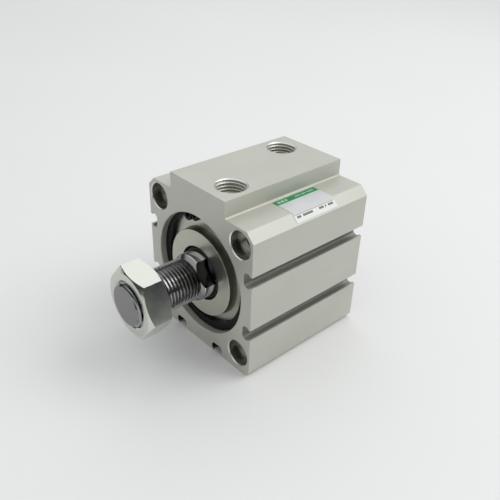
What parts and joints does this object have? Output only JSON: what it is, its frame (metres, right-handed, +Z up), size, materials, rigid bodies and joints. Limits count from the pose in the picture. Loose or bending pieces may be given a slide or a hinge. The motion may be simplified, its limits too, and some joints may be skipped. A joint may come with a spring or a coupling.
{
  "type": "pneumatic cylinder",
  "caption": "Compact double-acting pneumatic cylinder: square body with a raised port block, threaded piston rod with a hexagon nut.",
  "frame": {"origin": "where the rod axis meets the front mounting face, at the centre of the front bolt pattern", "axes": "+Y back along the body, the rod points to -Y; +Z up through the ports; +X to the right seen from the rod end"},
  "size_m": [0.064, 0.0958, 0.0725],
  "materials": {
    "anodised_body": "satin",
    "cover_aluminium": "satin",
    "bush_bronze": "satin",
    "black_rubber": "matte",
    "black_ring_steel": "satin",
    "label_film": "satin",
    "wear_plastic": "matte",
    "bonded_magnet": "matte",
    "bumper_rubber": "matte",
    "piston_aluminium": "satin",
    "rod_steel": "satin",
    "screw_steel": "satin",
    "washer_steel": "satin",
    "nut_zinc": "polished"
  },
  "bodies": {
    "cylinder": {"cylinder_tube": "anodised_body", "rod_cover": "cover_aluminium", "rod_bush": "bush_bronze", "rod_seal": "black_rubber", "rod_cover_gasket": "black_rubber", "front_snap_ring": "black_ring_steel", "head_cover": "cover_aluminium", "head_cover_gasket": "black_rubber", "rear_snap_ring": "black_ring_steel", "label": "label_film"},
    "piston_seals": {"piston_seal": "black_rubber", "wear_ring": "wear_plastic"},
    "rod": {"piston_rod": "rod_steel", "piston": "piston_aluminium", "piston_magnet": "bonded_magnet", "piston_rod_gasket": "black_rubber", "piston_washer": "washer_steel", "piston_screw": "screw_steel", "front_bumper": "bumper_rubber", "rear_bumper": "bumper_rubber"},
    "nut": {"rod_nut": "nut_zinc"}
  },
  "joints": [
    {"name": "rod_stroke", "type": "slide", "parent": "cylinder", "child": "piston_seals", "axis": [0, -1, 0], "range_m": [0, 0.02]},
    {"name": "rod_spin", "type": "hinge", "parent": "piston_seals", "child": "rod", "pos_m": [0, 0.043, 0], "axis": [0, 1, 0], "continuous": true},
    {"name": "nut_travel", "type": "slide", "parent": "rod", "child": "nut", "axis": [0, 1, 0], "range_m": [0, 0.0135]}
  ]
}
